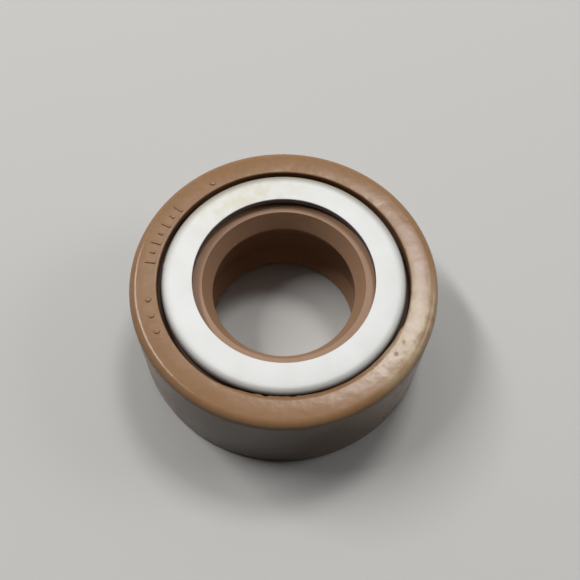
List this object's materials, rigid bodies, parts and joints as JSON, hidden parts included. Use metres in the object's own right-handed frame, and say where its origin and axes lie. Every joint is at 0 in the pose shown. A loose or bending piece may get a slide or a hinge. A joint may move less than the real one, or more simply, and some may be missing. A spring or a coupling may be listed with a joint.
{
  "type": "radial shaft seal",
  "caption": "Rubber-covered radial shaft seal: brown rubber body with a spring-loaded main lip and a dust lip, and a bright pressed metal ring closing its oil side.",
  "frame": {"origin": "middle of the air-side face, on the shaft's axis, where the seal lies on a surface", "axes": "+Z along the shaft's axis, from the air side to the oil side; the seal is the same all round it"},
  "size_m": [0.021, 0.021, 0.008],
  "materials": {
    "brown_rubber": "moulded, satin",
    "case_steel": "phosphated for bonding, matte",
    "bright_steel": "zinc plated, matte bright",
    "spring_steel": "drawn wire"
  },
  "bodies": {
    "root": {"rubber_body": "brown_rubber", "outer_case": "case_steel", "inner_case": "bright_steel", "garter_spring": "spring_steel"}
  },
  "joints": []
}
